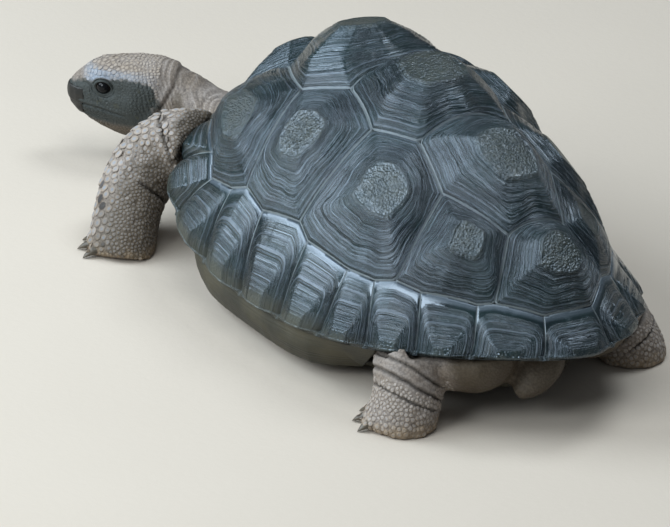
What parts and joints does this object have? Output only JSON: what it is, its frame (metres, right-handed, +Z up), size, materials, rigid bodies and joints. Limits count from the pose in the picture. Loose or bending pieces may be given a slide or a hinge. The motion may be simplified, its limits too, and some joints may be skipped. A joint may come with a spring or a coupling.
{
  "type": "tortoise",
  "caption": "Young giant tortoise standing with its neck out and its head turned to its left, under a domed dark shell of knobbly, ringed scutes; a still life-size model.",
  "frame": {"origin": "middle of the model's footprint, on the floor that its soles stand on", "axes": "-Y towards the head, +X towards the animal's left, +Z up"},
  "size_m": [0.1854, 0.3126, 0.1071],
  "materials": {
    "carapace": "keratin with fine growth rings, satin to glossy, dark grey-green with a blue sheen",
    "plastron": "dull keratin, dusty olive brown",
    "skin": "dry wrinkled skin with rounded scales, taupe grey",
    "beak": "smooth dark horn",
    "eye": "wet, near black"
  },
  "bodies": {
    "root": {"vertebral_1": "carapace", "vertebral_2": "carapace", "vertebral_3": "carapace", "vertebral_4": "carapace", "vertebral_5": "carapace", "costal_left_1": "carapace", "costal_left_2": "carapace", "costal_left_3": "carapace", "costal_left_4": "carapace", "marginal_left_1": "carapace", "marginal_left_2": "carapace", "marginal_left_3": "carapace", "marginal_left_4": "carapace", "marginal_left_5": "carapace", "marginal_left_6": "carapace", "marginal_left_7": "carapace", "marginal_left_8": "carapace", "marginal_left_9": "carapace", "marginal_left_10": "carapace", "marginal_left_11": "carapace", "costal_right_1": "carapace", "costal_right_2": "carapace", "costal_right_3": "carapace", "costal_right_4": "carapace", "marginal_right_1": "carapace", "marginal_right_2": "carapace", "marginal_right_3": "carapace", "marginal_right_4": "carapace", "marginal_right_5": "carapace", "marginal_right_6": "carapace", "marginal_right_7": "carapace", "marginal_right_8": "carapace", "marginal_right_9": "carapace", "marginal_right_10": "carapace", "marginal_right_11": "carapace", "nuchal": "carapace", "supracaudal": "carapace", "gular": "plastron", "humeral": "plastron", "pectoral": "plastron", "abdominal": "plastron", "femoral": "plastron", "anal": "plastron", "trunk": "skin", "neck": "skin", "head": "skin", "tail": "skin", "foreleg_left": "skin", "foreleg_right": "skin", "hindleg_left": "skin", "hindleg_right": "skin", "beak_upper": "beak", "beak_lower": "beak", "eye_left": "eye", "eye_right": "eye"}
  },
  "joints": []
}
